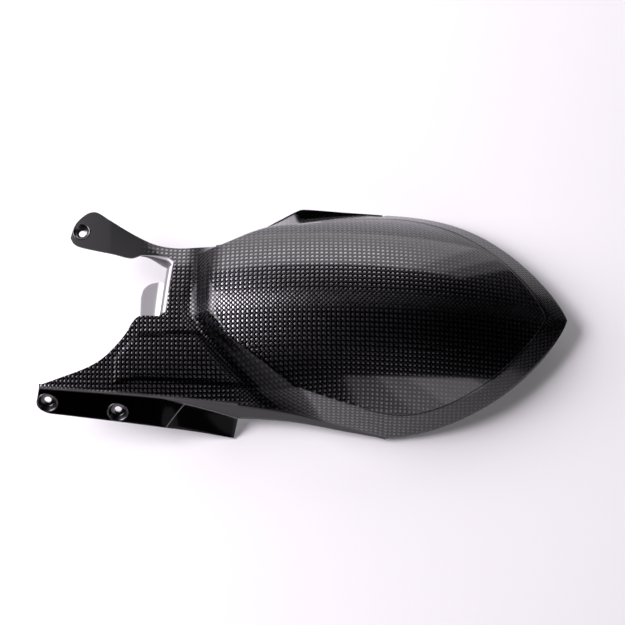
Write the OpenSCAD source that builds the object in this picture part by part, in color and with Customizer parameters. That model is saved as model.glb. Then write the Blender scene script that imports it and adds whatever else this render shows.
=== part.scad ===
// Rear hugger mudguard: one thin laminated moulding that covers the back of a motorbike's rear tyre.
// The mould frame has x rearward, y to the rider's right from the tyre's middle plane, and z up from the
// top of the crown. The finished part is moved so that its origin is the guard's front bore.

/* [Laminate] */
// Thickness of the moulding
wall = 1.8; // [1.4:0.1:2.4]

/* [Pod over the tyre] */
// Where the crown is highest
crown_x = 263; // [250:1:280]
// Radius of the crown line along the tyre
crown_r = 430; // [390:5:500]
// Radius of the crown across the tyre
section_r = 127; // [120:1:145]
// Where the tail starts to narrow
wide_x = 326; // [315:1:340]
// Tip of the tail
tip_x = 505; // [470:1:540]
// Half the width at the rim
rim_half = 116; // [112:1:126]
// Depth of the rim below the crown, where it is widest
rim_drop = 85; // [78:1:94]
// Depth of the tip below the crown
tip_drop = 71; // [69:1:76]
// Half the width between the creases above the rim
crease_half = 100; // [94:1:103]
// Distance from the end of the creases to the tip
crease_gap = 22; // [18:1:28]
// Where the pod rises from the front plate
pod_front_x = 136; // [130:1:142]
// Length of that rise
pod_rise = 26; // [20:1:32]
// How far the rise slants back on the chain side
pod_slant = 100; // [90:1:106]

/* [Right corner] */
// Where the turned-out lip ends in a corner
corner_x = 243; // [235:1:252]
// Width of the lip at that corner
lip_w = 15; // [8:1:18]
// How far the corner stands out past the rim
corner_out = 5; // [2:0.5:8]

/* [Front plate] */
// Depth of the plate below the crown
plate_drop = 28; // [25:1:31]
// Half the width of the plate at its front, on the chain side
plate_half = 79; // [76:1:83]
// Depth of that edge below the crown
plate_edge_drop = 32; // [30:1:36]
// Front end of the raised panel
panel_x = 67; // [60:1:72]
// Height of the raised panel
panel_h = 1.1; // [0.6:0.1:2.4]

/* [Chain guard] */
// Place of the front bore
front_bore_x = 4; // [2:0.5:6]
// How far the guard reaches ahead of that bore
guard_front = 10.5; // [10.3:0.1:14]
// How far the guard's upper front corner is set back
guard_nose = 3.5; // [1:0.5:6]
// Rear end of the guard
guard_rear_x = 184; // [172:1:190]
// Depth of the guard at its front, along the slope
guard_depth_front = 28; // [27:0.5:32]
// Depth of the guard at its rear, along the slope
guard_depth_rear = 38; // [33:0.5:42]
// Slope of the guard below level
guard_slope = 46; // [42:1:52]
// Where the guard's face bends
guard_bend_x = 112; // [98:1:130]
// How much steeper it is behind the bend
guard_bend = 6; // [0:1:12]
// How far the guard's rear end leans forward
guard_lean = 4.5; // [0:0.5:8]
// Where the side strip starts under the edge
strip_x = 88; // [70:1:110]
// Depth of the side strip behind the guard
strip_depth = 21; // [14:0.5:24]

/* [Notch between the arms] */
// Rear end of the notch, on the chain side
notch_x = 115.5; // [110:0.5:120]
// How much further back it ends on the right side
notch_skew = 6; // [2:0.5:8]
// Chain-side edge of the notch
notch_low = -8.5; // [-12:0.5:-5]
// Right-side edge of the notch
notch_high = 54; // [51:0.5:55]
// Depth of the turned-down flange
flange_depth = 15; // [9:0.5:18]
// How far the flange leans into the notch
flange_lean = 7; // [4:0.5:10]
// Reach of the tongue ahead of the notch's end
tongue_len = 26; // [18:1:34]
// Width of the tongue
tongue_w = 42; // [30:1:46]

/* [Right arm] */
// Tip of the arm
arm_tip_x = 21.5; // [16:0.5:24]
// Outer edge of the arm's eye
arm_reach = 99; // [97:0.5:103]
// Outer edge of the arm beside the notch
arm_root = 66; // [65:0.5:69]
// Depth of the arm's eye below the crown
arm_drop = 30; // [29:0.5:33]

/* [Mounts] */
// Diameter of the screw bores
bore_d = 6.5; // [5.2:0.1:8]
// Diameter of the recesses in the guard, at their mouths
cup_d = 18; // [15:0.5:19]
// Diameter of the recess in the arm, at its mouth
arm_cup_d = 14.5; // [13:0.5:15]
// How much narrower a recess is at its floor
cup_taper = 5; // [0:0.5:6]
// Depth of the recesses
cup_depth = 5; // [3.5:0.5:7]
// Thickness of the wall round a recess
cup_wall = 1.2; // [1:0.1:1.6]
// Thickness of the floor that a screw clamps
floor_t = 2.4; // [2:0.1:3.6]
// Distance along the guard between its two bores
bore_gap = 66; // [60:1:80]
// Place of the arm's bore, from the arm's tip
arm_bore_in = 10.5; // [9:0.5:12]

/* [Hidden] */

rim_start_x = wide_x - 0.117 * (tip_x - wide_x);        // where the rim starts to curve in
crease_start_x = wide_x + 0.067 * (tip_x - wide_x);     // where the creases start to curve in
crease_tip_x = tip_x - crease_gap;
rise_end_x = pod_front_x + pod_rise;
notch_end_x = notch_x + notch_skew;
plate_front_x = front_bore_x - guard_front + guard_nose;
guard_end_s = (notch_x + pod_front_x) / 2;
cup_rim = 0.6;                  // height of a cup's rim above the laminate
clear_h = 8;                    // height cut clear above a recess
least = 1.2;                    // least width of a facet that tapers out
front_least = 3.5;              // least width of the plate at its front end
guard_bend_len = 14;            // length over which the guard's face bends
guard_lean_len = 40;            // length over which its rear end leans
guard_nose_len = 14;            // length of its rounded front end
step = 2.5;                     // width of the slope round the raised panel
gap = 0.01;

function clamp01(t) = max(0, min(1, t));
function ramp(t) = let (c = clamp01(t)) c * c * (3 - 2 * c);
function mix(a, b, t) = a + (b - a) * t;
function total(v, n) = n == 0 ? 0 : v[n - 1] + total(v, n - 1);
function unit(v) = v / max(norm(v), 1e-9);

// A smooth curve through a few knots [x, value]
function span(k, x, i = 0) = i >= len(k) - 2 || x < k[i + 1][0] ? i : span(k, x, i + 1);
function slope(k, i) =
    let (a = max(i - 1, 0), b = min(i + 1, len(k) - 1))
    (k[b][1] - k[a][1]) / (k[b][0] - k[a][0]);
function curve(k, x) =
    let (
        c = max(k[0][0], min(k[len(k) - 1][0], x)),
        i = span(k, c),
        h = k[i + 1][0] - k[i][0],
        t = (c - k[i][0]) / h
    )
    (2 * t ^ 3 - 3 * t ^ 2 + 1) * k[i][1] + (t ^ 3 - 2 * t ^ 2 + t) * h * slope(k, i)
    + (3 * t ^ 2 - 2 * t ^ 3) * k[i + 1][1] + (t ^ 3 - t ^ 2) * h * slope(k, i + 1);

// Pod: an arc along the tyre, an arc across it, and two rounded points in plan
function crown_z(x) = sqrt(crown_r ^ 2 - (x - crown_x) ^ 2) - crown_r;
function pod_z(x, y) = crown_z(x) + sqrt(section_r ^ 2 - y ^ 2) - section_r;
function bow(x, start, end, fullness, roundness) =
    (1 - clamp01((x - start) / (end - start)) ^ fullness) ^ (1 / roundness);
function rim_y(x) = rim_half * bow(x, rim_start_x, tip_x, 2.3, 1.235);
function rim_z(x) = -mix(rim_drop, tip_drop, ramp((x - wide_x) / (tip_x - wide_x) / 0.615));
function crease_y(x) = crease_half * bow(x, crease_start_x, crease_tip_x, 1.8, 1.25);

// Knots are placed by shares of the named stretches, so that they keep their order when a size changes
function plate_x(t) = mix(0, notch_x, t);
function arm_x(t) = mix(arm_tip_x, notch_x, t);
function sweep_x(t) = mix(notch_end_x, corner_x, t);
function lip_x(t) = mix(corner_x, wide_x, t);
function plate_y(t) = mix(-plate_half, notch_low, t);
function eye_y(t) = mix(notch_high, arm_reach, t);
function root_y(t) = mix(arm_root, arm_reach, t);
function sweep_y(t) = mix(arm_root, rim_half + corner_out, t);
function sweep_z(t) = mix(arm_drop, rim_drop, t);

// Chain side: the edge between plate and guard, which runs on as the pod's rim
function widening(x) =
    curve([[-0.037, -0.027], [0, 0], [0.46, 0.206], [0.7, 0.398], [0.893, 0.781], [1, 1]], x / wide_x);
function chain_y(x) = x > wide_x ? -rim_y(x) : -mix(plate_half, rim_y(wide_x), widening(x));
function chain_z(x) =
    x > wide_x ? rim_z(x) : -mix(plate_edge_drop, rim_drop, (max(x, 0) / wide_x) ^ 1.3);

// Front edge of the plate: a concave sweep up to the notch
function front_y(x) =
    max(chain_y(x) + front_least,
        curve([[plate_x(-0.052), plate_y(0.014)], [plate_x(0.104), plate_y(0.113)], [plate_x(0.364), plate_y(0.284)],
            [plate_x(0.494), plate_y(0.418)], [plate_x(0.597), plate_y(0.589)], [plate_x(0.675), plate_y(0.752)],
            [plate_x(0.736), plate_y(0.929)], [plate_x(0.788), plate_y(0.993)], [plate_x(0.948), plate_y(1)],
            [plate_x(1), plate_y(1.05)]], x));

// Right side: the arm's lower edge, round the notch's corner and on inside the pod
function arm_low_y(x) =
    curve([[arm_x(0), eye_y(0.356)], [arm_x(0.027), eye_y(0.256)], [arm_x(0.08), eye_y(0.178)],
        [arm_x(0.266), eye_y(0.078)], [arm_x(0.452), eye_y(0)], [arm_x(0.633), eye_y(-0.078)],
        [arm_x(0.739), notch_high], [notch_x, notch_high], [notch_end_x, eye_y(-0.111)],
        [mix(notch_end_x, crease_start_x, 0.2), eye_y(-0.133)], [crease_start_x, crease_half / 2]], x);

// Right side: the arm's upper edge, the sweep out to the corner, and the lip along the rim
function right_y(x) =
    x > wide_x ? rim_y(x)
    : curve([[arm_x(0), eye_y(0.422)], [arm_x(0.027), eye_y(0.633)], [arm_x(0.069), eye_y(0.789)],
        [arm_x(0.149), eye_y(0.944)], [arm_x(0.218), arm_reach], [arm_x(0.277), eye_y(0.978)],
        [arm_x(0.399), eye_y(0.811)], [arm_x(0.665), root_y(0.303)], [arm_x(0.856), root_y(0.076)],
        [sweep_x(0.012), arm_root], [sweep_x(0.193), sweep_y(0.009)], [sweep_x(0.358), sweep_y(0.064)],
        [sweep_x(0.523), sweep_y(0.2)], [sweep_x(0.663), sweep_y(0.418)], [sweep_x(0.794), sweep_y(0.636)],
        [corner_x, sweep_y(1)], [lip_x(0.193), sweep_y(1.009)], [lip_x(0.602), rim_half + corner_out / 2],
        [wide_x, rim_y(wide_x)]], x);
function right_z(x) =
    x > wide_x ? rim_z(x)
    : -curve([[arm_x(0.41), arm_drop], [arm_x(0.729), sweep_z(0.091)], [sweep_x(-0.012), sweep_z(0.218)],
        [sweep_x(0.235), sweep_z(0.218)], [sweep_x(0.523), sweep_z(0.4)], [sweep_x(0.794), sweep_z(0.709)],
        [corner_x, rim_drop], [wide_x, rim_drop]], x);
function lip(x) =
    max(least, lip_w * min(ramp((x - sweep_x(0.358)) / (corner_x - sweep_x(0.358))),
        clamp01((wide_x - x) / (wide_x - corner_x)) ^ 1.4));
function foot_y(x) = x > wide_x ? rim_y(x) : right_y(x) - lip(x);

// Skin between the edges: the plate in front and the pod behind, joined by the rise
function plate_z(x, y) =
    y < 0 ? mix(-plate_drop, chain_z(x), (y / chain_y(x)) ^ 2)
    : mix(-plate_drop, right_z(x), (y / right_y(x)) ^ 2);
function skin_z(x, y, s) = mix(plate_z(x, y), pod_z(x, y), ramp((s - pod_front_x) / pod_rise));
function skin(x, y, s) = [x, y, skin_z(x, y, s)];

// Creases: the pod's own, and ahead of it the panel's lower edge and the middle of the right flank
function chain_crease_y(x, s) =
    x > crease_start_x ? -crease_y(x)
    : -mix(
        mix(-chain_y(x), -front_y(x), mix(0.45, 0.18, ramp(s / panel_x))),
        crease_half * (1 - 0.2 * clamp01((crease_start_x - x) / (crease_start_x - corner_x)) ^ 1.5),
        ramp((s - pod_front_x) / pod_rise));
function right_crease_y(x) =
    x > crease_start_x ? crease_y(x)
    : mix(
        mix(arm_low_y(x), foot_y(x), 0.5),
        crease_half * (1 - 0.12 * clamp01((crease_start_x - x) / (crease_start_x - corner_x)) ^ 1.6),
        ramp((x - sweep_x(0.152)) / (corner_x - sweep_x(0.152))));

// Inner lines: the panel's upper edge and the notch's chain-side edge, carried on through the pod
function panel_top_y(x, s) =
    x > crease_start_x ? -0.45 * crease_y(x)
    : mix(
        mix(chain_crease_y(x, s), front_y(x), mix(0.6, 0.72, ramp(s / panel_x))),
        -0.45 * crease_half,
        ramp((s - pod_front_x) / (corner_x - pod_front_x) / 0.56));
function low_y(x) =
    x > crease_start_x ? -0.2 * crease_y(x)
    : curve([[notch_x, plate_y(1.05)], [mix(notch_x, crease_start_x, 0.2), notch_low],
        [crease_start_x, -0.2 * crease_half]], x);
function high_y(x) = x > crease_start_x ? crease_y(x) / 2 : arm_low_y(x);

// Chain guard: a steep facet below the edge, which runs on as the side strip, and the flared face
function strip(x) =
    max(least, strip_depth * clamp01((wide_x - x) / (wide_x - guard_rear_x))
        * clamp01((x - strip_x) / (guard_rear_x - strip_x)) ^ 1.6) * [0, -0.42, -0.91];
function bent(x) = ramp((x - guard_bend_x) / guard_bend_len);
function guard_depth(x) =
    mix(guard_depth_front, guard_depth_rear, clamp01(x / guard_rear_x)) * (1 + guard_bend / 90 * bent(x));
function guard_slope_at(x) = guard_slope + guard_bend * bent(x);
function guard_point(x, share) =
    [x - share * guard_lean * ramp((x - guard_rear_x) / guard_lean_len + 1), chain_y(x), chain_z(x)]
    + guard_depth(x) * share * [0, -cos(guard_slope_at(x)), -sin(guard_slope_at(x))];
function nose(x) =
    let (t = clamp01((x - front_bore_x + guard_front) / guard_nose_len))
    0.62 + 0.38 * sqrt(1 - (1 - t) ^ 2);

// Stations run along the crown. The first stretch starts at each arm's own front end, and in the tail
// the stations crowd together towards the tip.
along = [11, 1, 6, 2, 3, 7, 9, 7, 16];
ends = [for (n = [0:len(along)]) total(along, n)];
marks = [0, panel_x, panel_x + step, notch_x, guard_end_s, pod_front_x, rise_end_x, corner_x, wide_x];
n_along = ends[9];
function stretch(i, n = 0) = n >= len(along) - 1 || i < ends[n + 1] ? n : stretch(i, n + 1);
function station(i, front) =
    let (n = stretch(i), t = (i - ends[n]) / along[n])
    n == 0 ? mix(front, panel_x, t ^ 1.4)
    : n == 8 ? mix(wide_x, tip_x, sin(90 * t))
    : mix(marks[n], marks[n + 1], t);

// On the chain side a station slants back, so that the grid follows the pod's rise
function slant(s) =
    curve([[mix(panel_x, notch_x, 0.35), 0], [guard_end_s, guard_rear_x - guard_end_s], [pod_front_x, 0.7 * pod_slant],
        [rise_end_x, pod_slant], [corner_x, 0.65 * pod_slant], [wide_x, 0]], s);

// Twelve rails, from the guard's free edge across the part to the lip's edge
function rails(i) =
    let (
        s = station(i, plate_front_x),
        edge = station(i, plate_front_x - guard_nose) + slant(s),
        arm = station(i, arm_tip_x),
        skew = s > notch_x ? 1 - ramp((s - notch_x) / (corner_x - notch_x) / 0.314) : ramp((arm - panel_x) / (notch_x - panel_x)),
        mid = s > wide_x ? mix(wide_x, crease_tip_x, (s - wide_x) / (tip_x - wide_x)) : s,
        chain = s + slant(s),
        low = mid + 0.8 * slant(s),
        top = mid + 0.15 * slant(s),
        right = arm + notch_skew * skew,
        high = s > wide_x ? mid : right,
        crease = chain_crease_y(low, s),
        panel = panel_top_y(top, s),
        slope_share = min(0.2, step / (panel - crease + gap))
    )
    [
        guard_point(edge, nose(edge)),
        [chain, chain_y(chain), chain_z(chain)] + strip(chain),
        [chain, chain_y(chain), chain_z(chain)],
        [low, crease],
        mix([low, crease], [top, panel], slope_share),
        mix([top, panel], [low, crease], slope_share),
        [top, panel],
        [mid, i <= ends[3] ? front_y(mid) : low_y(mid)],
        [high, high_y(high)],
        [high, right_crease_y(high)],
        [right, foot_y(right), right_z(right)],
        [right, right_y(right), right_z(right)]
    ];

// Lanes of cells between the rails
across = [3, 2, 3, 1, 4, 1, 3, 7, 5, 3, 2];
sides = [for (n = [0:len(across)]) total(across, n)];
n_across = sides[11];
lanes = [for (n = [0:len(across) - 1]) for (k = [1:across[n]]) n];

function panel_share(lane, t) = lane == 3 ? t : lane == 4 ? 1 : lane == 5 ? 1 - t : 0;
function lane_point(r, lane, t, s) =
    let (flat = mix([r[lane][0], r[lane][1]], [r[lane + 1][0], r[lane + 1][1]], t))
    lane < 2 || lane > 9 ? mix(r[lane], r[lane + 1], t)
    : lane == 2 ? mix(r[2], skin(r[3][0], r[3][1], s), t)
    : lane == 9 ? mix(skin(r[9][0], r[9][1], s), r[10], t)
    : skin(flat[0], flat[1], s) + [0, 0, panel_h * panel_share(lane, t)
        * ramp((s - panel_x) / step) * ramp((pod_front_x - s) / (2 * step))];
function row(i) =
    let (r = rails(i), s = station(i, plate_front_x))
    [
        for (lane = [0:len(across) - 1])
            for (k = [0:across[lane] - 1])
                lane_point(r, lane, k / across[lane], s),
        r[11]
    ];

// Which cells the moulding has: the guard, strip and lip end, and the notch is open
function live(i, j) =
    i >= 0 && i < n_along && j >= 0 && j < n_across
    && (lanes[j] == 0 ? i < ends[4]
        : lanes[j] == 1 ? i < ends[8]
        : lanes[j] == 7 ? i >= ends[3]
        : lanes[j] == 10 ? i >= ends[6] && i < ends[8]
        : true);

// Outer skin, and the inner skin set back from it along the surface's normal
outer = [for (i = [0:n_along]) row(i)];
function facing(i, j) =
    unit(cross(outer[i + 1][j + 1] - outer[i][j], outer[i][j + 1] - outer[i + 1][j]));
function normal(i, j) =
    let (
        around = [for (a = [i - 1, i]) for (b = [j - 1, j]) if (live(a, b)) facing(a, b)],
        sum = len(around) == 0 ? [0, 0, 1] : [for (n = [1:len(around)]) 1] * around
    )
    unit(i == n_along ? [sum[0], 0, sum[2]] : sum);
function set_back(i, j) = outer[i][j] - wall * (normal(i, j) - flange_share(i, j) * flange_out(i, j));
function inner_point(i, j) =
    let (lane = lanes[min(j, n_across - 1)], first = sides[lane], cells = across[lane])
    lane > 2 && lane < 9 ? set_back(i, j)
    : mix(set_back(i, first), set_back(i, first + cells), (j - first) / cells);

// The notch's right side and rear end carry a flange, which starts shallow on the arm
flange_start = ends[3] - 6;
function on_flange(i, j) =
    (j == sides[8] && i >= flange_start && i <= ends[3]) || (i == ends[3] && j >= sides[7] && j < sides[8]);
function flange_depth_at(i) = mix(0.12, 1, ramp((i - flange_start) / 5));
function flange_share(i, j) = on_flange(i, j) ? min(1, 3 * flange_depth_at(i)) : 0;
function flange_out(i, j) = j < sides[8] ? [1, 0, 0] : i < ends[3] ? [0, 1, 0] : unit([1, 1, 0]);
inner = [for (i = [0:n_along]) [for (j = [0:n_across]) inner_point(i, j)]];
flange_path = concat(
    [for (i = [flange_start:ends[3]]) [i, sides[8]]],
    [for (j = [sides[8] - 1:-1:sides[7]]) [ends[3], j]]);
function flange_foot(i, j) =
    outer[i][j] - flange_depth_at(i) * (flange_lean * flange_out(i, j) + [0, 0, flange_depth + wall]);
flange_front = [for (p = flange_path) flange_foot(p[0], p[1])];
flange_back = [for (p = flange_path) flange_foot(p[0], p[1]) + wall * flange_share(p[0], p[1]) * flange_out(p[0], p[1])];

// The two halves of the tail share the last station, which is folded along the middle
function seam(j) = j <= sides[3] ? j : j < sides[9] ? sides[3] : sides[3] + sides[9] - j;
function id(i, j, side) =
    (side * (n_along + 1) + i) * (n_across + 1) + (i == n_along ? max(0, seam(j)) : j);
function quad(a, b, c, d) =
    [for (f = [[a, b, c], [a, c, d]]) if (f[0] != f[1] && f[1] != f[2] && f[0] != f[2]) f];
function wall_quad(ai, aj, bi, bj) = quad(id(bi, bj, 1), id(ai, aj, 1), id(ai, aj, 0), id(bi, bj, 0));
faces = [
    for (i = [0:n_along - 1])
        for (j = [0:n_across - 1])
            if (live(i, j))
                each concat(
                    quad(id(i, j, 0), id(i, j + 1, 0), id(i + 1, j + 1, 0), id(i + 1, j, 0)),
                    quad(id(i, j, 1), id(i + 1, j, 1), id(i + 1, j + 1, 1), id(i, j + 1, 1)),
                    live(i, j - 1) || on_flange(i, j) && on_flange(i + 1, j) ? [] : wall_quad(i, j, i + 1, j),
                    i == n_along - 1 || live(i + 1, j) ? [] : wall_quad(i + 1, j, i + 1, j + 1),
                    live(i, j + 1) ? [] : wall_quad(i + 1, j + 1, i, j + 1),
                    live(i - 1, j) || on_flange(i, j) && on_flange(i, j + 1) ? [] : wall_quad(i, j + 1, i, j))
];
points = [each each outer, each each inner, each flange_front, each flange_back];
first_front = 2 * (n_along + 1) * (n_across + 1);
first_back = first_front + len(flange_path);
n_flange = len(flange_path) - 1;
function path_id(k, side) = id(flange_path[k][0], flange_path[k][1], side);
flange_faces = [
    for (k = [0:n_flange - 1])
        each concat(
            quad(path_id(k, 0), path_id(k + 1, 0), first_front + k + 1, first_front + k),
            quad(first_front + k, first_front + k + 1, first_back + k + 1, first_back + k),
            quad(first_back + k, first_back + k + 1, path_id(k + 1, 1), path_id(k, 1))),
    each quad(path_id(0, 1), path_id(0, 0), first_front, first_back),
    each quad(path_id(n_flange, 0), path_id(n_flange, 1), first_back + n_flange, first_front + n_flange)
];

// Trimmed moulding
module shell() {
    polyhedron(points = points, faces = concat(faces, flange_faces), convexity = 8);
}

// Tongue that reaches forward from the flange's foot, with its outer corner rounded off
module tongue() {
    foot_x = notch_x - flange_lean + 1;
    foot_skew = notch_skew * tongue_w / (notch_high - notch_low);
    end_x = notch_x - tongue_len;
    far_y = notch_low + tongue_w;
    corner = tongue_len - flange_lean - 4;
    translate([0, 0, -plate_drop - flange_depth - 0.9 * wall])
        linear_extrude(wall)
            polygon(concat(
                [[foot_x, notch_low], [foot_x + foot_skew, far_y]],
                [for (a = [0:15:90]) [end_x + corner - corner * sin(a), far_y - 3 - corner * (1 - cos(a))]],
                [[end_x, notch_low]]));
}

// Recessed screw seats
guard_tilt = [guard_slope, 0, 0];
seats = [
    [guard_point(front_bore_x, 0.57), guard_tilt, cup_d],
    [guard_point(front_bore_x + bore_gap, 0.66), guard_tilt, cup_d],
    [[arm_tip_x + arm_bore_in, arm_reach - 22, -arm_drop + 0.6], [0, 0, 0], arm_cup_d]
];
module at_seat(seat) {
    translate(seat[0]) rotate(seat[1]) children();
}
module seat_boss(seat) {
    at_seat(seat)
        translate([0, 0, -cup_depth - floor_t])
            cylinder(h = cup_depth + floor_t + cup_rim, d1 = seat[2] - cup_taper + 2 * cup_wall,
                d2 = seat[2] + 2 * cup_wall, $fn = 48);
}
module seat_hollow(seat) {
    at_seat(seat) {
        translate([0, 0, -cup_depth])
            cylinder(h = cup_depth + cup_rim, d1 = seat[2] - cup_taper, d2 = seat[2], $fn = 48);
        translate([0, 0, cup_rim - gap])
            cylinder(h = clear_h, d = seat[2], $fn = 48);
        translate([0, 0, -cup_depth - floor_t - 1])
            cylinder(h = cup_depth + floor_t, d = bore_d, $fn = 32);
    }
}

// The origin is the middle of the front bore's floor
floor_mid = cup_depth + floor_t / 2;
origin = seats[0][0] - floor_mid * [0, -sin(guard_slope), cos(guard_slope)];

module mudguard() {
    color([0.07, 0.07, 0.075])
        translate(-origin)
            difference() {
                union() {
                    shell();
                    tongue();
                    for (seat = seats) seat_boss(seat);
                }
                for (seat = seats) seat_hollow(seat);
            }
}

mudguard();
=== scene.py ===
from math import asin, cos, hypot, pi, radians, sin, sqrt

import bmesh
import bpy
from mathutils import Matrix, Vector


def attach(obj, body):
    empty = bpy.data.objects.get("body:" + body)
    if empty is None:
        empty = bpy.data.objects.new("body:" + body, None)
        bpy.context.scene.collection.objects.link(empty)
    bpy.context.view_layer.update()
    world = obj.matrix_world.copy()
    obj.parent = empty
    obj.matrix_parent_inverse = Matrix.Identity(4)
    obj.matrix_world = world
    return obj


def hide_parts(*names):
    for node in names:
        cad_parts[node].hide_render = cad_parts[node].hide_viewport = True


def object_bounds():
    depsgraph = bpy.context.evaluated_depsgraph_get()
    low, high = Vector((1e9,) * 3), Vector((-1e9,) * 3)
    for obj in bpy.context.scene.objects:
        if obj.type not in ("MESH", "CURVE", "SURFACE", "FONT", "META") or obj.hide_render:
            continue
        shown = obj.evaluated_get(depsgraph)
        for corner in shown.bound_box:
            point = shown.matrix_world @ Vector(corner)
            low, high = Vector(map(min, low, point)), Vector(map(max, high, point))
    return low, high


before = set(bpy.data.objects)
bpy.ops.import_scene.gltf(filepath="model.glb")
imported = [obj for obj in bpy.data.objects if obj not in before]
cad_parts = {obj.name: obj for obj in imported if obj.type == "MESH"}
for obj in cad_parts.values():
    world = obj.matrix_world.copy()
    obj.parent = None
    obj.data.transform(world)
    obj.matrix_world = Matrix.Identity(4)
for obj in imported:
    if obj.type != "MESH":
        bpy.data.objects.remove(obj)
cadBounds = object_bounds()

# Rear hugger mudguard in lacquered carbon cloth. Sizes are millimetres in the mould frame (x rearward, y to the
# rider's right, z up from the crown) until toFrame turns them into metres in the row frame.

pod = dict(crownX=263, crownR=430, sectionR=127, wideX=326, tipX=505, rimHalf=116, rimDrop=85, tipDrop=71,
           rimStart=-0.117, rimBow=(2.3, 1.235), rimFall=0.615, creaseHalf=100, creaseGap=22, creaseStart=0.067,
           creaseBow=(1.8, 1.25), frontX=136, rise=26, slant=100, lowSlant=0.8, topSlant=0.15, topShare=0.45,
           lowShare=0.2, highShare=0.5)
corner = dict(x=243, lip=15, out=5, lipStart=0.98, lipFade=1.4, chainPull=0.2, chainEase=1.5, rightPull=0.12,
              rightEase=1.6, rightStart=0.152, panelFade=0.56)
plate = dict(drop=28, half=79, edgeDrop=32, edgeEase=1.3, panelX=67, panelH=1.1, frontLeast=3.5, step=2.5,
             stepShare=0.2, creaseShare=(0.45, 0.18), topShare=(0.6, 0.72))
guard = dict(boreX=4, front=10.5, nose=3.5, noseLength=14, noseShare=0.62, rearX=184, depthFront=28, depthRear=38,
             slope=46, bendX=112, bend=6, bendLength=14, lean=4.5, leanLength=40, stripX=88, stripDepth=21,
             stripOut=0.42, stripDown=0.91, stripEase=1.6)
notch = dict(x=115.5, skew=6, skewFade=0.314, low=-8.5, high=54, depth=15, lean=7, tongue=26, tongueWidth=42)
arm = dict(tipX=21.5, reach=99, root=66, drop=30)
skin = dict(wall=1.8, least=1.2, rounding=2, edgeRadius=0.35, sharp=55, weld=0.02, inset=0.08)


# curves shared with the solid
def clamp01(t):
    return max(0.0, min(1.0, t))


def ramp(t):
    c = clamp01(t)
    return c * c * (3 - 2 * c)


def mix(a, b, t):
    if isinstance(a, (int, float)):
        return a + (b - a) * t
    return tuple(p + (q - p) * t for p, q in zip(a, b))


def curve(knots, x):
    # smooth curve through the knots, level beyond its ends
    c = max(knots[0][0], min(knots[-1][0], x))
    i = 0
    while i < len(knots) - 2 and c >= knots[i + 1][0]:
        i += 1

    def slope(k):
        a, b = max(k - 1, 0), min(k + 1, len(knots) - 1)
        return (knots[b][1] - knots[a][1]) / (knots[b][0] - knots[a][0])

    h = knots[i + 1][0] - knots[i][0]
    t = (c - knots[i][0]) / h
    return ((2 * t**3 - 3 * t**2 + 1) * knots[i][1] + (t**3 - 2 * t**2 + t) * h * slope(i)
            + (3 * t**2 - 2 * t**3) * knots[i + 1][1] + (t**3 - t**2) * h * slope(i + 1))


tailLength = pod["tipX"] - pod["wideX"]
rimStartX = pod["wideX"] + pod["rimStart"] * tailLength
creaseStartX = pod["wideX"] + pod["creaseStart"] * tailLength
creaseTipX = pod["tipX"] - pod["creaseGap"]
riseEndX = pod["frontX"] + pod["rise"]
notchEndX = notch["x"] + notch["skew"]
plateFrontX = guard["boreX"] - guard["front"] + guard["nose"]
guardEndS = (notch["x"] + pod["frontX"]) / 2


def crownZ(x):
    return sqrt(pod["crownR"]**2 - (x - pod["crownX"])**2) - pod["crownR"]


def podZ(x, y):
    return crownZ(x) + sqrt(pod["sectionR"]**2 - y * y) - pod["sectionR"]


def bow(x, start, end, fullness, roundness):
    return (1 - clamp01((x - start) / (end - start))**fullness)**(1 / roundness)


def rimY(x):
    return pod["rimHalf"] * bow(x, rimStartX, pod["tipX"], *pod["rimBow"])


def rimZ(x):
    return -mix(pod["rimDrop"], pod["tipDrop"], ramp((x - pod["wideX"]) / tailLength / pod["rimFall"]))


def creaseY(x):
    return pod["creaseHalf"] * bow(x, creaseStartX, creaseTipX, *pod["creaseBow"])


# knots are placed by shares of the named stretches
def plateX(t):
    return notch["x"] * t


def armX(t):
    return mix(arm["tipX"], notch["x"], t)


def sweepX(t):
    return mix(notchEndX, corner["x"], t)


def lipX(t):
    return mix(corner["x"], pod["wideX"], t)


def plateY(t):
    return mix(-plate["half"], notch["low"], t)


def eyeY(t):
    return mix(notch["high"], arm["reach"], t)


def rootY(t):
    return mix(arm["root"], arm["reach"], t)


def sweepY(t):
    return mix(arm["root"], pod["rimHalf"] + corner["out"], t)


def sweepZ(t):
    return mix(arm["drop"], pod["rimDrop"], t)


# edges of the part: chain side, front, arm and right side
def chainY(x):
    if x > pod["wideX"]:
        return -rimY(x)
    knots = [(-0.037, -0.027), (0, 0), (0.46, 0.206), (0.7, 0.398), (0.893, 0.781), (1, 1)]
    return -mix(plate["half"], rimY(pod["wideX"]), curve(knots, x / pod["wideX"]))


def chainZ(x):
    if x > pod["wideX"]:
        return rimZ(x)
    return -mix(plate["edgeDrop"], pod["rimDrop"], (max(x, 0) / pod["wideX"])**plate["edgeEase"])


def frontY(x):
    knots = [(-0.052, 0.014), (0.104, 0.113), (0.364, 0.284), (0.494, 0.418), (0.597, 0.589), (0.675, 0.752),
             (0.736, 0.929), (0.788, 0.993), (0.948, 1), (1, 1.05)]
    return max(chainY(x) + plate["frontLeast"], curve([(plateX(a), plateY(b)) for a, b in knots], x))


def armLowY(x):
    knots = [(0, 0.356), (0.027, 0.256), (0.08, 0.178), (0.266, 0.078), (0.452, 0), (0.633, -0.078),
             (0.739, 0), (1, 0)]
    return curve([(armX(a), eyeY(b)) for a, b in knots]
                 + [(notchEndX, eyeY(-0.111)), (mix(notchEndX, creaseStartX, 0.2), eyeY(-0.133)),
                    (creaseStartX, pod["highShare"] * pod["creaseHalf"])], x)


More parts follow.
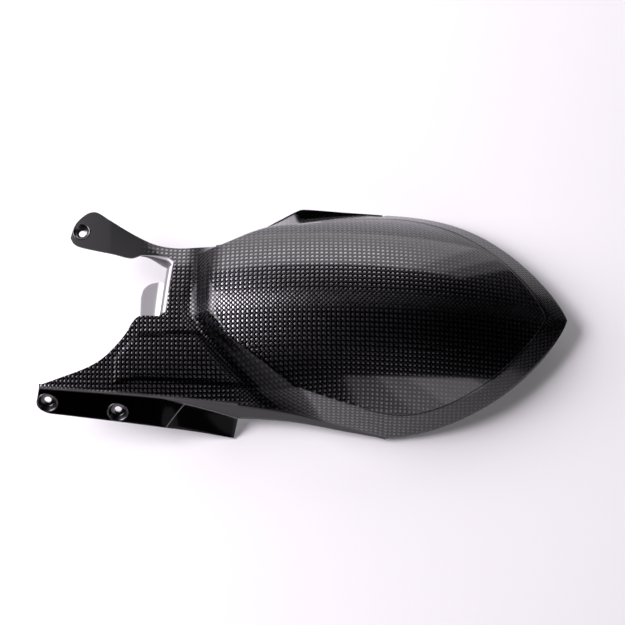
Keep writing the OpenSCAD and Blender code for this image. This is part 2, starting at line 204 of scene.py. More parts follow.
def rightY(x):
    if x > pod["wideX"]:
        return rimY(x)
    eye = [(0, 0.422), (0.027, 0.633), (0.069, 0.789), (0.149, 0.944), (0.218, 1), (0.277, 0.978), (0.399, 0.811)]
    root = [(0.665, 0.303), (0.856, 0.076)]
    sweep = [(0.012, 0), (0.193, 0.009), (0.358, 0.064), (0.523, 0.2), (0.663, 0.418), (0.794, 0.636), (1, 1)]
    return curve([(armX(a), eyeY(b)) for a, b in eye] + [(armX(a), rootY(b)) for a, b in root]
                 + [(sweepX(a), sweepY(b)) for a, b in sweep]
                 + [(lipX(0.193), sweepY(1.009)), (lipX(0.602), pod["rimHalf"] + corner["out"] / 2),
                    (pod["wideX"], rimY(pod["wideX"]))], x)


def rightZ(x):
    if x > pod["wideX"]:
        return rimZ(x)
    return -curve([(armX(0.41), arm["drop"]), (armX(0.729), sweepZ(0.091)), (sweepX(-0.012), sweepZ(0.218)),
                   (sweepX(0.235), sweepZ(0.218)), (sweepX(0.523), sweepZ(0.4)), (sweepX(0.794), sweepZ(0.709)),
                   (corner["x"], pod["rimDrop"]), (pod["wideX"], pod["rimDrop"])], x)


def lipWidth(x):
    # the lip starts sharply at the corner and narrows to the widest place
    startX = sweepX(corner["lipStart"])
    return max(skin["least"], corner["lip"] * min(
        ramp((x - startX) / (corner["x"] - startX)),
        clamp01((pod["wideX"] - x) / (pod["wideX"] - corner["x"]))**corner["lipFade"]))


def footY(x):
    return rimY(x) if x > pod["wideX"] else rightY(x) - lipWidth(x)


# surface between the edges
def plateZ(x, y):
    edgeY, edgeZ = (chainY(x), chainZ(x)) if y < 0 else (rightY(x), rightZ(x))
    return mix(-plate["drop"], edgeZ, (y / edgeY)**2)


def shellShare(s):
    # 0 on the front plate, 1 on the shell
    return ramp((s - pod["frontX"]) / pod["rise"])


def onSkin(x, y, s, lift=0.0):
    return x, y, mix(plateZ(x, y), podZ(x, y), shellShare(s)) + lift


def nearCorner(x, ease):
    return clamp01((creaseStartX - x) / (creaseStartX - corner["x"]))**ease


def chainCreaseY(x, s):
    if x > creaseStartX:
        return -creaseY(x)
    onPlate = mix(-chainY(x), -frontY(x), mix(*plate["creaseShare"], ramp(s / plate["panelX"])))
    onPod = pod["creaseHalf"] * (1 - corner["chainPull"] * nearCorner(x, corner["chainEase"]))
    return -mix(onPlate, onPod, shellShare(s))


def rightCreaseY(x):
    if x > creaseStartX:
        return creaseY(x)
    startX = sweepX(corner["rightStart"])
    onPod = pod["creaseHalf"] * (1 - corner["rightPull"] * nearCorner(x, corner["rightEase"]))
    return mix(mix(armLowY(x), footY(x), 0.5), onPod, ramp((x - startX) / (corner["x"] - startX)))


def panelTopY(x, s):
    if x > creaseStartX:
        return -pod["topShare"] * creaseY(x)
    onPlate = mix(chainCreaseY(x, s), frontY(x), mix(*plate["topShare"], ramp(s / plate["panelX"])))
    toCorner = (s - pod["frontX"]) / (corner["x"] - pod["frontX"])
    return mix(onPlate, -pod["topShare"] * pod["creaseHalf"], ramp(toCorner / corner["panelFade"]))


def lowY(x):
    if x > creaseStartX:
        return -pod["lowShare"] * creaseY(x)
    return curve([(notch["x"], plateY(1.05)), (mix(notch["x"], creaseStartX, 0.2), notch["low"]),
                  (creaseStartX, -pod["lowShare"] * pod["creaseHalf"])], x)


def highY(x):
    return pod["highShare"] * creaseY(x) if x > creaseStartX else armLowY(x)


def stripPoint(x):
    depth = max(skin["least"], guard["stripDepth"]
                * clamp01((pod["wideX"] - x) / (pod["wideX"] - guard["rearX"]))
                * clamp01((x - guard["stripX"]) / (guard["rearX"] - guard["stripX"]))**guard["stripEase"])
    return x, chainY(x) - guard["stripOut"] * depth, chainZ(x) - guard["stripDown"] * depth


def guardPoint(x, share):
    bent = ramp((x - guard["bendX"]) / guard["bendLength"])
    depth = mix(guard["depthFront"], guard["depthRear"], clamp01(x / guard["rearX"]))
    depth *= 1 + guard["bend"] / 90 * bent
    a = radians(guard["slope"] + guard["bend"] * bent)
    return (x - share * guard["lean"] * ramp((x - guard["rearX"]) / guard["leanLength"] + 1),
            chainY(x) - depth * share * cos(a), chainZ(x) - depth * share * sin(a))


def nose(x):
    t = clamp01((x - guard["boreX"] + guard["front"]) / guard["noseLength"])
    return mix(guard["noseShare"], 1, sqrt(1 - (1 - t)**2))


# cells of the skin: spans run from the front to the tip, lanes from the guard's lower edge to the right edge
spans = dict(plateFront=40, panelStep=3, panel=20, web=6, shelf=9, rise=26, shell=30, corner=24, tail=60)
lanes = dict(guard=8, strip=5, flank=9, stepUp=3, panel=12, stepDown=3, plate=9, notch=22, armTop=16,
             rightFlank=9, lip=5)


def startsOf(cells):
    starts, total = {}, 0
    for name, count in cells.items():
        starts[name] = total
        total += count
    return starts, total


column, columns = startsOf(spans)
row, rows = startsOf(lanes)
laneOf = [name for name, count in lanes.items() for _ in range(count)]
stretch = dict(panelStep=(plate["panelX"], plate["panelX"] + plate["step"]),
               panel=(plate["panelX"] + plate["step"], notch["x"]), web=(notch["x"], guardEndS),
               shelf=(guardEndS, pod["frontX"]), rise=(pod["frontX"], riseEndX), shell=(riseEndX, corner["x"]),
               corner=(corner["x"], pod["wideX"]))


def station(i, front):
    span = [name for name in spans if i >= column[name]][-1]
    t = (i - column[span]) / spans[span]
    if span == "plateFront":
        return mix(front, plate["panelX"], t**1.4)
    if span == "tail":
        return mix(pod["wideX"], pod["tipX"], sin(pi / 2 * t))
    return mix(*stretch[span], t)


def slant(s):
    # how far the chain side runs ahead of the right side at each station
    return curve([(mix(plate["panelX"], notch["x"], 0.35), 0), (guardEndS, guard["rearX"] - guardEndS),
                  (pod["frontX"], 0.7 * pod["slant"]), (riseEndX, pod["slant"]), (corner["x"], 0.65 * pod["slant"]),
                  (pod["wideX"], 0)], s)


def rails(i):
    s, onArm = station(i, plateFrontX), station(i, arm["tipX"])
    edge = station(i, plateFrontX - guard["nose"]) + slant(s)
    skew = ramp((onArm - plate["panelX"]) / (notch["x"] - plate["panelX"]))
    if s > notch["x"]:
        skew = 1 - ramp((s - notch["x"]) / (corner["x"] - notch["x"]) / notch["skewFade"])
    mid = s
    if s > pod["wideX"]:
        mid = mix(pod["wideX"], creaseTipX, (s - pod["wideX"]) / tailLength)
    chain, low, top = s + slant(s), mid + pod["lowSlant"] * slant(s), mid + pod["topSlant"] * slant(s)
    right = onArm + notch["skew"] * skew
    high = mid if s > pod["wideX"] else right
    crease, panel = chainCreaseY(low, s), panelTopY(top, s)
    share = min(plate["stepShare"], plate["step"] / (panel - crease + 0.01))
    return [guardPoint(edge, nose(edge)), stripPoint(chain), (chain, chainY(chain), chainZ(chain)),
            (low, crease), mix((low, crease), (top, panel), share), mix((top, panel), (low, crease), share),
            (top, panel), (mid, frontY(mid) if i <= column["web"] else lowY(mid)), (high, highY(high)),
            (high, rightCreaseY(high)), (right, footY(right), rightZ(right)), (right, rightY(right), rightZ(right))]


def pointsAcross(i):
    s = station(i, plateFrontX)
    onPanel = ramp((s - plate["panelX"]) / plate["step"]) * ramp((pod["frontX"] - s) / (2 * plate["step"]))
    ends = dict(zip(lanes, zip(rails(i), rails(i)[1:])))
    points = []
    for j in range(rows + 1):
        lane = laneOf[min(j, rows - 1)]
        t = (j - row[lane]) / lanes[lane]
        a, b = ends[lane]
        if lane == "flank":
            b = onSkin(*b, s)
        elif lane == "rightFlank":
            a = onSkin(*a, s)
        if lane in ("guard", "strip", "flank", "rightFlank", "lip"):
            points.append(mix(a, b, t))
        else:
            raised = dict(stepUp=t, panel=1, stepDown=1 - t).get(lane, 0)
            points.append(onSkin(*mix(a, b, t), s, plate["panelH"] * onPanel * raised))
    return points


def live(i, j):
    return dict(guard=i < column["shelf"], strip=i < column["tail"], notch=i >= column["web"],
                lip=column["shell"] <= i < column["tail"]).get(laneOf[j], True)


# screw recesses: middle point on the surface, tilt about X, width
recess = dict(bore=6.5, cup=18, armCup=14.5, taper=5, depth=5, wall=1.2, floor=2.4, rim=0.6, gap=66,
              frontShare=0.57, rearShare=0.66, armIn=10.5, armUp=22, armRaise=0.6, cutGap=0.1, cutLength=20,
              segments=56)
recesses = dict(
    RecessGuardFront=(guardPoint(guard["boreX"], recess["frontShare"]), guard["slope"], recess["cup"]),
    RecessGuardRear=(guardPoint(guard["boreX"] + recess["gap"], recess["rearShare"]), guard["slope"], recess["cup"]),
    RecessArm=((arm["tipX"] + recess["armIn"], arm["reach"] - recess["armUp"], recess["armRaise"] - arm["drop"]),
               0, recess["armCup"]))

# the row frame starts at the middle of the front recess's floor
tilt = radians(guard["slope"])
floorMid = recess["depth"] + recess["floor"] / 2
originMm = Vector(recesses["RecessGuardFront"][0]) - floorMid * Vector((0, -sin(tilt), cos(tilt)))


def toFrame(p):
    return (Vector(p) - originMm) / 1000


# materials
weave = dict(spacing=3.2, rise=0.42, arch=0.4, crest=(0.42, 0.82), shaded=0.1, dimmest=0.75, spread=0.3,
             tow=(0.31, 0.297, 0.322), resin=(0.0015, 0.0015, 0.002))
lacquer = dict(roughness=0.3, coat=0.1, matting=0.3, metalLoss=0.8, grooveLoss=0.8)
# pale is the colour of the painted highlight lines along the guard's folds
lines = dict(creaseWidth=1.3, creaseDepth=0.9, foldWidth=0.8, rollWidth=2.6, rollShare=0.5,
             pale=(0.20, 0.19, 0.205), satin=(0.008, 0.0077, 0.0083))
# pale is the painted highlight on the flange and tongue
rawLaminate = dict(grey=(0.11, 0.105, 0.115), pale=(0.9, 0.88, 0.92), roughness=0.4)


def mathNode(tree, operation, *values):
    node = tree.nodes.new("ShaderNodeMath")
    node.operation = operation
    for k, value in enumerate(values):
        if isinstance(value, (int, float)):
            node.inputs[k].default_value = value
        else:
            tree.links.new(value, node.inputs[k])
    return node.outputs[0]


def attributeNode(tree, name):
    node = tree.nodes.new("ShaderNodeAttribute")
    node.attribute_name = name
    return node.outputs["Fac"]


def blendNode(tree, amount, first, second):
    node = tree.nodes.new("ShaderNodeMix")
    node.data_type = "RGBA"
    tree.links.new(amount, node.inputs[0])
    for socket, color in ((node.inputs[6], first), (node.inputs[7], second)):
        if isinstance(color, tuple):
            socket.default_value = (*color, 1)
        else:
            tree.links.new(color, socket)
    return node.outputs[2]


def makeWeaveGroup():
    # plain weave at 45 degrees: each tow is round across and arches over its neighbour
    tree = bpy.data.node_groups.new("plainWeave", "ShaderNodeTree")
    tree.interface.new_socket(name="Vector", in_out="INPUT", socket_type="NodeSocketVector")
    for name in ("Spacing", "Cloth", "HighlightSide"):
        tree.interface.new_socket(name=name, in_out="INPUT", socket_type="NodeSocketFloat")
    for name in ("Height", "CrestHighlight", "Shade"):
        tree.interface.new_socket(name=name, in_out="OUTPUT", socket_type="NodeSocketFloat")
    given, result = tree.nodes.new("NodeGroupInput"), tree.nodes.new("NodeGroupOutput")
    split = tree.nodes.new("ShaderNodeSeparateXYZ")
    tree.links.new(given.outputs["Vector"], split.inputs[0])

    def m(operation, *values):
        return mathNode(tree, operation, *values)

    diagonal = m("MULTIPLY", given.outputs["Spacing"], sqrt(2))
    a = m("DIVIDE", m("ADD", split.outputs[0], split.outputs[1]), diagonal)
    b = m("DIVIDE", m("SUBTRACT", split.outputs[0], split.outputs[1]), diagonal)
    cellA, cellB = m("FLOOR", a), m("FLOOR", b)
    inA = m("SUBTRACT", m("SUBTRACT", a, cellA), 0.5)
    inB = m("SUBTRACT", m("SUBTRACT", b, cellB), 0.5)
    odd = m("FLOORED_MODULO", m("ADD", cellA, cellB), 2)

    def over(alongTow, acrossTow):
        arch = m("COSINE", m("MULTIPLY", alongTow, pi))
        bulge = m("SUBTRACT", 1, m("MULTIPLY", m("MULTIPLY", acrossTow, acrossTow), 4))
        return m("ADD", m("MULTIPLY", arch, weave["arch"]), m("MULTIPLY", bulge, 1 - weave["arch"]))

    def pick(warp, weft):
        return m("ADD", m("MULTIPLY", warp, m("SUBTRACT", 1, odd)), m("MULTIPLY", weft, odd))

    height = pick(over(inA, inB), over(inB, inA))
    tree.links.new(m("MULTIPLY", height, given.outputs["Cloth"]), result.inputs["Height"])
    # partly painted highlight: the weave pattern is real, but only the tows' crests get the tow colour and the rest
    # stays resin-dark, so the dots are painted glints
    crest = tree.nodes.new("ShaderNodeMapRange")
    crest.interpolation_type = "SMOOTHSTEP"
    crest.inputs["From Min"].default_value, crest.inputs["From Max"].default_value = weave["crest"]
    tree.links.new(height, crest.inputs["Value"])
    tree.links.new(m("MULTIPLY", crest.outputs["Result"], given.outputs["Cloth"]), result.inputs["CrestHighlight"])

    # each crossing has its own brightness
    noise = tree.nodes.new("ShaderNodeTexWhiteNoise")
    noise.noise_dimensions = "2D"
    cell = tree.nodes.new("ShaderNodeCombineXYZ")
    tree.links.new(cellA, cell.inputs[0])
    tree.links.new(cellB, cell.inputs[1])
    tree.links.new(cell.outputs[0], noise.inputs["Vector"])
    own = m("ADD", m("MULTIPLY", noise.outputs["Value"], weave["spread"]), weave["dimmest"])

    # painted highlight and shade: one set of tows is painted lit on each side of the crown, and both along it, the
    # other painted dim
    lean = given.outputs["HighlightSide"]
    lit = pick(m("MINIMUM", m("MULTIPLY", lean, 2), 1), m("MINIMUM", m("MULTIPLY", m("SUBTRACT", 1, lean), 2), 1))
    lit = m("ADD", m("MULTIPLY", lit, 1 - weave["shaded"]), weave["shaded"])
    tree.links.new(m("MULTIPLY", own, lit), result.inputs["Shade"])
    return tree


def newMaterial(name, **sockets):
    material = bpy.data.materials.new(name)
    material.use_nodes = True
    shader = material.node_tree.nodes["Principled BSDF"]
    for socket, value in sockets.items():
        shader.inputs[socket.replace("_", " ")].default_value = value
    return material, material.node_tree, shader


def makeClothMaterial(group):
    material, tree, shader = newMaterial("lacqueredCloth", Metallic=1.0, Roughness=lacquer["roughness"],
                                         Coat_Weight=1.0, Coat_Roughness=lacquer["coat"], Coat_IOR=1.5)

    def m(operation, *values):
        return mathNode(tree, operation, *values)

    def attribute(name):
        return attributeNode(tree, name)

    def near(name, width):
        edge = tree.nodes.new("ShaderNodeMapRange")
        edge.interpolation_type = "SMOOTHSTEP"
        edge.inputs["From Max"].default_value = width
        edge.inputs["To Min"].default_value = 1
        edge.inputs["To Max"].default_value = 0
        tree.links.new(m("ABSOLUTE", attribute(name)), edge.inputs["Value"])
        return edge.outputs["Result"]

    uv = tree.nodes.new("ShaderNodeUVMap")
    uv.uv_map = "cloth"
    cloth = tree.nodes.new("ShaderNodeGroup")
    cloth.node_tree = group
    cloth.inputs["Spacing"].default_value = weave["spacing"] / 1000
    tree.links.new(uv.outputs[0], cloth.inputs["Vector"])
    tree.links.new(attribute("clothMask"), cloth.inputs["Cloth"])
    tree.links.new(attribute("lean"), cloth.inputs["HighlightSide"])

    # the crease is a groove in the lacquer, and the guard's folds get painted highlights as pale lines
    groove, satin = near("creaseGap", lines["creaseWidth"]), attribute("satin")
    paintedFoldHighlight = m("MAXIMUM", near("foldGap", lines["foldWidth"]), near("bendGap", lines["foldWidth"]))
    paintedFoldHighlight = m("MAXIMUM", paintedFoldHighlight, m("MULTIPLY", near("rollGap", lines["rollWidth"]), lines["rollShare"]))
    bump = tree.nodes.new("ShaderNodeBump")
    bump.inputs["Distance"].default_value = weave["rise"] / 1000
    bump.inputs["Filter Width"].default_value = 0.1
    sunk = m("MULTIPLY", groove, lines["creaseDepth"])
    tree.links.new(m("SUBTRACT", cloth.outputs["Height"], sunk), bump.inputs["Height"])
    tree.links.new(bump.outputs[0], shader.inputs["Normal"])

    dots = m("MULTIPLY", m("MULTIPLY", cloth.outputs["CrestHighlight"], cloth.outputs["Shade"]), attribute("dotShade"))
    woven = blendNode(tree, m("MULTIPLY", dots, m("SUBTRACT", 1, groove)), weave["resin"], weave["tow"])
    tone = blendNode(tree, paintedFoldHighlight, blendNode(tree, satin, woven, lines["satin"]), lines["pale"])
    tree.links.new(tone, shader.inputs["Base Color"])
    dull = m("MAXIMUM", satin, paintedFoldHighlight)
    tree.links.new(m("SUBTRACT", 1, m("MULTIPLY", dull, lacquer["metalLoss"])), shader.inputs["Metallic"])
    matt = m("MAXIMUM", m("MULTIPLY", groove, lacquer["grooveLoss"]), dull)
    tree.links.new(m("SUBTRACT", attribute("gloss"), matt), shader.inputs["Coat Weight"])
    tree.links.new(m("ADD", lacquer["roughness"], m("MULTIPLY", dull, lacquer["matting"])),
                   shader.inputs["Roughness"])
    return material


def makeFlangeMaterial():
    # raw laminate where the notch is folded down, grey with painted highlights along the lip and the tongue's bend
    material, tree, shader = newMaterial("rawFlange", Roughness=rawLaminate["roughness"])
    tone = blendNode(tree, attributeNode(tree, "paintedHighlight"), rawLaminate["grey"], rawLaminate["pale"])
    tree.links.new(tone, shader.inputs["Base Color"])
    return material


clothMaterial = makeClothMaterial(makeWeaveGroup())
insideMaterial = newMaterial("bareInside", Base_Color=(0.012, 0.012, 0.013, 1), Roughness=0.45)[0]
edgeMaterial = newMaterial("cutEdge", Base_Color=(0.01, 0.01, 0.011, 1), Roughness=0.35, Coat_Weight=0.6)[0]
flangeMaterial = makeFlangeMaterial()
outsideSlot, insideSlot, edgeSlot, flangeSlot = range(4)
recessMaterial = newMaterial("recessLacquer", Base_Color=(0.07, 0.067, 0.073, 1), Metallic=1.0, Roughness=0.3,
                             Coat_Weight=1.0)[0]
print("materials made")

# how the finish, and the painted light and shade, change over the skin
bareArm = dict(x=84, fade=30)
# painted shade: how much the weave's dots are darkened in each place
dotShadeShare = dict(step=0.9, lip=0.98, tail=0.25, tailX=300, tailFade=110, right=0.22, chain=0.38, tilt=0.955,
                tiltFade=0.12)
glossShare = dict(riseReach=6, step=0.95, lip=0.6, guard=0.25, flank=0.3, flankStart=0.45, flankFade=25)
towHighlightSide = dict(half=22, lead=10, fade=15)
creaseLine = dict(squeeze=(0.22, 0.5), squeezeX=380, squeezeFade=60, lead=5, fade=30)
foldLine = dict(beyondStrip=40, fade=4, rollFade=3, bendAt=(22, 3), far=8)  # no line shows at far
flange = dict(columns=12, fadeIn=10, thin=0.12, rows=8, roundOut=2.6, roundDown=1.3, edgeHighlight=0.75, footHighlight=0.3)
tongue = dict(columns=14, rows=10, roundness=4, taper=3, taperRows=4, sag=1.6, sagRows=3, highlightRows=3, grey=0.19)


# skin
def meshFrom(bm, name):
    mesh = bpy.data.meshes.new(name)
    bm.to_mesh(mesh)
    bm.free()
    return mesh


def gridOf(bm, columnCount, rowCount, place):
    made = bmesh.ops.create_grid(bm, x_segments=columnCount, y_segments=rowCount, size=1)
    grid = {}
    for v in made["verts"]:
        grid[round((v.co.x + 1) / 2 * columnCount), round((v.co.y + 1) / 2 * rowCount)] = v
    assert len(grid) == (columnCount + 1) * (rowCount + 1)
    for (i, j), v in grid.items():
        v.co = place(i, j)
    return grid


def flattenAcross(points):
    # distance over the skin from its middle rail, so that the cloth lies flat
    flat, middle = {}, row["notch"]
    for i, line in enumerate(points):
        for side, end in ((1, rows), (-1, 0)):
            reach = line[middle][1]
            flat[i, middle] = reach
            for j in range(middle + side, end + side, side):
                reach += side * hypot(line[j][1] - line[j - side][1], line[j][2] - line[j - side][2])
                flat[i, j] = reach
    return flat


def alongCrown(x):
    return pod["crownX"] + pod["crownR"] * asin((x - pod["crownX"]) / pod["crownR"])


def dotsAndGloss(i, j, x, s):
    # painted shade: the weave's dots are darkened on the rise, the panel's steps, the lip and towards the tail, and
    # the coat is thinner on the rise, the steps and the lip, so these show less highlight
    reach = glossShare["riseReach"]
    onRise = sin(pi * clamp01((s - pod["frontX"] + reach) / (pod["rise"] + 2 * reach))) if j >= row["flank"] else 0
    acrossPanel = row["stepUp"] <= j <= row["plate"] and column["panelStep"] <= i <= column["panel"]
    besidePanel = (column["panelStep"] <= i <= column["rise"]
                   and (row["stepUp"] <= j <= row["panel"] or row["stepDown"] <= j <= row["plate"]))
    onStep = 1.0 if acrossPanel or besidePanel else 0.0
    onLip = 1.0 if j >= row["lip"] and column["shell"] <= i <= column["tail"] else 0.0
    dots = ((1 - dotShadeShare["step"] * max(sqrt(onRise), onStep)) * (1 - dotShadeShare["lip"] * onLip)
            * mix(1, dotShadeShare["tail"], ramp((x - dotShadeShare["tailX"]) / dotShadeShare["tailFade"])))
    gloss = 1 - glossShare["step"] * max(sqrt(onRise), onStep, glossShare["lip"] * onLip)
    if j < row["strip"]:
        gloss = glossShare["guard"]
    elif j > row["rightFlank"]:
        gloss *= mix(1, glossShare["flank"], ramp((s - sweepX(glossShare["flankStart"])) / glossShare["flankFade"]))
    return dots, gloss


def finishAt(points, flat, i, j):
    lane, s = laneOf[min(j, rows - 1)], station(i, plateFrontX)
    x, y = points[i][j][:2]

    def gapTo(rail):
        return abs(flat[i, j] - flat[i, row[rail]])

    onGuard = lane in ("guard", "strip")
    onArm = 1 - ramp((x - bareArm["x"]) / bareArm["fade"]) if j >= row["armTop"] else 0.0
    dots, gloss = dotsAndGloss(i, j, x, s)
    squeezed = mix(*creaseLine["squeeze"], ramp((x - creaseLine["squeezeX"]) / creaseLine["squeezeFade"]))
    beforeShell = 1 - ramp((s - corner["x"] + creaseLine["lead"]) / creaseLine["fade"])
    beforeStrip = clamp01((guard["stripX"] + foldLine["beyondStrip"] - x) / foldLine["fade"])
    bendX = guard["bendX"] + mix(*foldLine["bendAt"], 1 - j / row["strip"])
    foldGap = foldLine["far"]
    if onGuard and i <= column["shelf"]:
        foldGap = gapTo("strip") + foldLine["far"] * beforeStrip
    return dict(
        clothMask=0.0 if onGuard or j == row["flank"] else 1 - onArm,
        satin=onArm,
        dotShade=dots,
        gloss=gloss,
        # painted highlight: which set of tows is painted lit, from the side of the crown
        lean=mix(1, clamp01(0.5 + y / towHighlightSide["half"]),
                 ramp((s - pod["frontX"] + towHighlightSide["lead"]) / towHighlightSide["fade"])),
        creaseGap=min(gapTo("stepUp"), squeezed * gapTo("rightFlank")) + foldLine["far"] * beforeShell,
        # foldGap, rollGap and bendGap place the painted highlight lines
        foldGap=foldGap,
        rollGap=gapTo("flank") + foldLine["rollFade"] * max(0, i - column["shelf"]),
        bendGap=x - bendX if j <= row["strip"] else foldLine["far"])


def addFlange(bm, skinGrid, paintedHighlight):
    # folded down round the notch: along the arm's low edge, then across the notch's rear edge
    first, rear, high = column["web"] - flange["columns"], column["web"], row["armTop"]
    path = [(i, high) for i in range(first, rear + 1)] + [(rear, j) for j in range(high - 1, row["notch"] - 1, -1)]
    last = len(path) - 1

    def place(k, r):
        i, j = path[k]
        share = mix(flange["thin"], 1, ramp((i - first) / flange["fadeIn"]))
        q = r / flange["rows"]
        out = Vector((1, 1, 0)).normalized()
        if j < high - 1:
            out = Vector((1, 0, 0))
        elif i < rear:
            out = Vector((0, 1, 0))
        down = q**flange["roundDown"] * (notch["depth"] + skin["wall"])
        inward = notch["lean"] * (1 - (1 - q)**flange["roundOut"])
        return skinGrid[path[k]].co - share / 1000 * (inward * out + Vector((0, 0, down)))

    grid = gridOf(bm, last, flange["rows"], place)
    # painted highlight: pale along the flange's lip and along its foot, fully where it meets the tongue
    for (k, r), v in grid.items():
        atFoot = 1.0 if k >= last - tongue["columns"] else flange["footHighlight"]
        v[paintedHighlight] = {1: flange["edgeHighlight"], flange["rows"]: atFoot}.get(r, 0.0)
    return [grid[k, flange["rows"]].co.copy() for k in range(last - tongue["columns"], last + 1)]


def addTongue(bm, foot, paintedHighlight):
    # runs forward from the flange's foot, with one rounded corner
    endX = toFrame((notch["x"] - notch["tongue"], 0, 0)).x
    farY = toFrame((0, notch["low"] + notch["tongueWidth"], 0)).y
    radius = (notch["tongue"] - notch["lean"] - tongue["roundness"]) / 1000

    def place(k, r):
        start = foot[k]
        if r == 0:
            return start
        x = mix(start.x, endX, r / tongue["rows"])
        t = clamp01(1 - (x - endX) / radius)
        reach = farY - tongue["taper"] / 1000 * ramp(r / tongue["taperRows"]) - radius * (1 - sqrt(1 - t * t))
        share = (start.y - foot[-1].y) / (foot[0].y - foot[-1].y)
        sag = tongue["sag"] / 1000 * clamp01(r / tongue["sagRows"])
        return Vector((x, mix(foot[-1].y, reach, share), mix(start.z, foot[-1].z, ramp(r / tongue["sagRows"])) - sag))

    # painted highlight: the tongue's first rows are a pale stripe at the bend, the rest a slightly paler grey than
    # the flange
    for (k, r), v in gridOf(bm, len(foot) - 1, tongue["rows"], place).items():
        v[paintedHighlight] = 1.0 if r < tongue["highlightRows"] else tongue["grey"]


def keepInBox(bm):
    low, high = cadBounds
    inset = skin["inset"] / 1000
    for v in bm.verts:
        v.co = [max(low[k] + inset, min(high[k] - inset, v.co[k])) for k in range(3)]


def makeSkin():
    points = [pointsAcross(i) for i in range(columns + 1)]
    flat = flattenAcross(points)
    bm = bmesh.new()
    uvLayer = bm.loops.layers.uv.new("cloth")
    layer = {name: bm.verts.layers.float.new(name) for name in finishAt(points, flat, 0, 0)}
    paintedHighlight = bm.verts.layers.float.new("paintedHighlight")
    grid = gridOf(bm, columns, rows, lambda i, j: toFrame(points[i][j]))
    where = {v: key for key, v in grid.items()}
    dead = [f for f in bm.faces if not live(*map(min, zip(*(where[v] for v in f.verts))))]
    bmesh.ops.delete(bm, geom=dead, context="FACES")
    for f in bm.faces:
        for loop in f.loops:
            i, j = where[loop.vert]
            loop[uvLayer].uv = (alongCrown(points[i][j][0]) / 1000, flat[i, j] / 1000)
    for v in bm.verts:
        for name, value in finishAt(points, flat, *where[v]).items():
            v[layer[name]] = value

    inner = [v for v in bm.verts if not v.is_boundary]
    for _ in range(skin["rounding"]):
        bmesh.ops.smooth_vert(bm, verts=inner, factor=0.5, use_axis_x=True, use_axis_y=True, use_axis_z=True)
    outer = set(bm.faces)
    addTongue(bm, addFlange(bm, grid, paintedHighlight), paintedHighlight)
    for f in bm.faces:
        f.material_index = outsideSlot if f in outer else flangeSlot
        f.smooth = True
    bmesh.ops.remove_doubles(bm, verts=bm.verts, dist=skin["weld"] / 1000)
    keepInBox(bm)
    bmesh.ops.recalc_face_normals(bm, faces=bm.faces)
    if sum(f.normal.z for f in bm.faces) < 0:
        bmesh.ops.reverse_faces(bm, faces=bm.faces)

    # painted shade: the weave's dots are darker on steep sides
    bm.normal_update()
    for v in bm.verts:
        steep = ramp((dotShadeShare["tilt"] - v.normal.z) / dotShadeShare["tiltFade"])
        v[layer["dotShade"]] *= mix(1, dotShadeShare["right" if v.normal.y > 0 else "chain"], steep)
    return meshFrom(bm, "Mudguard")


def atRecess(place):
    point, turn, _ = place
    return Matrix.Translation(toFrame(point)) @ Matrix.Rotation(radians(turn), 4, "X")


def makeCutter():
    bm = bmesh.new()
    for place in recesses.values():
        radius = (place[2] / 2 + recess["cutGap"]) / 1000
        bmesh.ops.create_cone(bm, segments=48, radius1=radius, radius2=radius, depth=recess["cutLength"] / 1000,
                              cap_ends=True, matrix=atRecess(place))
    return meshFrom(bm, "cutter")


def addPiece(name, mesh, *materials):
    piece = bpy.data.objects.new(name, mesh)
    bpy.context.scene.collection.objects.link(piece)
    for material in materials:
        mesh.materials.append(material)
    return piece


def settle(piece):
    # the modifiers become the mesh, so that their helpers can go
    bpy.context.view_layer.update()
    made = bpy.data.meshes.new_from_object(piece.evaluated_get(bpy.context.evaluated_depsgraph_get()))
    piece.modifiers.clear()
    piece.data = made


body = addPiece("Mudguard", makeSkin(), clothMaterial, insideMaterial, edgeMaterial, flangeMaterial)
cutter = addPiece("cutter", makeCutter())
thick = body.modifiers.new("thickness", "SOLIDIFY")
thick.thickness = skin["wall"] / 1000
thick.offset = -1
thick.material_offset = insideSlot
thick.material_offset_rim = edgeSlot
holes = body.modifiers.new("holes", "BOOLEAN")
holes.object = cutter
holes.operation = "DIFFERENCE"
settle(body)
bpy.data.objects.remove(cutter)
soft = body.modifiers.new("softEdge", "BEVEL")
soft.width = skin["edgeRadius"] / 1000
soft.segments = 2
soft.limit_method = "ANGLE"
soft.angle_limit = radians(skin["sharp"])
soft.material = -1
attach(body, "root")
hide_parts("mudguard")
print("skin made", len(body.data.polygons))


# recessed screw cups, spun from their profile
def makeRecess(place):
    cup, outside, bore = place[2] / 2, place[2] / 2 + recess["wall"], recess["bore"] / 2
    inner = cup - recess["taper"] / 2
    floor, bottom, rim = -recess["depth"], -recess["depth"] - recess["floor"], recess["rim"]
    profile = [(bore, bottom), (bore, floor - 0.3), (bore + 0.3, floor), (inner - 0.6, floor),
               (inner, floor + 0.25), (inner + 0.35, floor + 0.8), (cup - 0.3, rim - 0.7), (cup, rim - 0.2),
               (cup + 0.3, rim), (outside - 0.3, rim), (outside - 0.1, rim - 0.1), (outside, rim - 0.4),
               (inner + 1.2, bottom + 0.4), (inner + 0.8, bottom)]
    bm = bmesh.new()
    ring = [bm.verts.new((r / 1000, 0, z / 1000)) for r, z in profile]
    edges = [bm.edges.new((ring[k], ring[(k + 1) % len(ring)])) for k in range(len(ring))]
    bmesh.ops.spin(bm, geom=ring + edges, cent=(0, 0, 0), axis=(0, 0, 1), angle=2 * pi, steps=recess["segments"],
                   use_merge=True)
    bmesh.ops.remove_doubles(bm, verts=bm.verts, dist=1e-6)
    bmesh.ops.recalc_face_normals(bm, faces=bm.faces)
    bmesh.ops.transform(bm, matrix=atRecess(place), verts=bm.verts)
    for f in bm.faces:
        f.smooth = True
    return meshFrom(bm, "Recess")


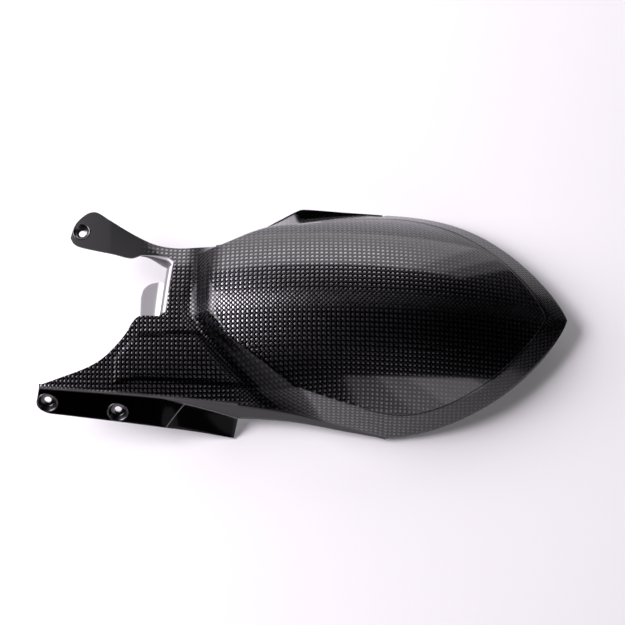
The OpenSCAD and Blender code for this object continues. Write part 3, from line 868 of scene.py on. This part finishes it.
for name, place in recesses.items():
    piece = addPiece(name, makeRecess(place), recessMaterial)
    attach(piece, "root")
print("recesses made")

# floor
studio = dict(floorTone=(0.80, 0.785, 0.82), floorHalf=6, floorPlace=(0.25, 0.09), floorGap=0.0005,
              floorGlow=0.08, floorRoughness=0.9, glowColor=(1, 0.98, 1), world=0.002,
              lampColor=(1, 0.955, 1), wallDistance=2.2, wallHeight=1.75, wallGlow=2.0,
              rightWall=((-2.5, 1.2, 1.0), (1.2, 1.6, 0.66), (1.6, 2.0, 0.33)),
              leftWall=((0.3, 0.7, 0.33), (0.7, 1.1, 0.66), (1.1, 2.2, 1.0), (2.2, 2.6, 0.5)),
              keyTilt=56, keyTurn=12, keyDistance=2.4, keySize=1.8, keyGlow=12.5)
bm = bmesh.new()
bmesh.ops.create_grid(bm, x_segments=1, y_segments=1, size=studio["floorHalf"])
floorMaterial = newMaterial("paleFloor", Base_Color=(*studio["floorTone"], 1), Roughness=studio["floorRoughness"],
                            Emission_Color=(*studio["glowColor"], 1), Emission_Strength=studio["floorGlow"])[0]
floorPiece = addPiece("Floor", meshFrom(bm, "Floor"), floorMaterial)
floorPiece.location = (*studio["floorPlace"], cadBounds[0].z - studio["floorGap"])

# lamps: a tall soft wall on each side, in strips that fade at its ends, and a key over the front
look = dict(aim=(255, 0, -35), distance=1800, elevation=72, field=600, sensor=36, shift=(0.86, -3.17))
middle = toFrame(look["aim"])


def addPanel(name, place, size, power):
    data = bpy.data.lights.new(name, "AREA")
    data.shape = "RECTANGLE"
    data.size, data.size_y = size
    data.energy = power
    data.color = studio["lampColor"]
    lamp = bpy.data.objects.new(name, data)
    bpy.context.scene.collection.objects.link(lamp)
    lamp.location = place
    lamp.rotation_euler = (middle - Vector(place)).to_track_quat("-Z", "Y").to_euler()
    return lamp


def addWall(name, side):
    height = studio["wallHeight"]
    for start, end, share in studio[name]:
        place = (middle.x + (start + end) / 2, middle.y + side * studio["wallDistance"],
                 floorPiece.location.z + height / 2)
        strip = addPanel(name, place, (end - start, height), pi * (end - start) * height * studio["wallGlow"] * share)
        strip.rotation_euler = (radians(-90 * side), 0, 0)


addWall("rightWall", 1)
addWall("leftWall", -1)
keyTilt, keyTurn = radians(studio["keyTilt"]), radians(studio["keyTurn"])
toKey = Vector((-sin(keyTilt) * cos(keyTurn), sin(keyTilt) * sin(keyTurn), cos(keyTilt)))
addPanel("key", middle + studio["keyDistance"] * toKey, (studio["keySize"], studio["keySize"]),
         pi * studio["keySize"]**2 * studio["keyGlow"])

world = bpy.data.worlds.new("studio")
world.use_nodes = True
background = world.node_tree.nodes["Background"]
background.inputs["Color"].default_value = (*studio["glowColor"], 1)
background.inputs["Strength"].default_value = studio["world"]
bpy.context.scene.world = world

# camera, at the photograph's viewing angle
data = bpy.data.cameras.new("camera")
data.sensor_width = look["sensor"]
data.lens = look["sensor"] * look["distance"] / look["field"]
camera = bpy.data.objects.new("camera", data)
bpy.context.scene.collection.objects.link(camera)
lift = radians(look["elevation"])
back, up = Vector((0, -cos(lift), sin(lift))), Vector((0, sin(lift), cos(lift)))
centre = middle + (look["shift"][0] * Vector((1, 0, 0)) + look["shift"][1] * up) / 1000
camera.location = centre + look["distance"] / 1000 * back
camera.rotation_euler = (radians(90 - look["elevation"]), 0, 0)
bpy.context.scene.camera = camera
bpy.context.scene.view_settings.view_transform = "Standard"
print("studio made")
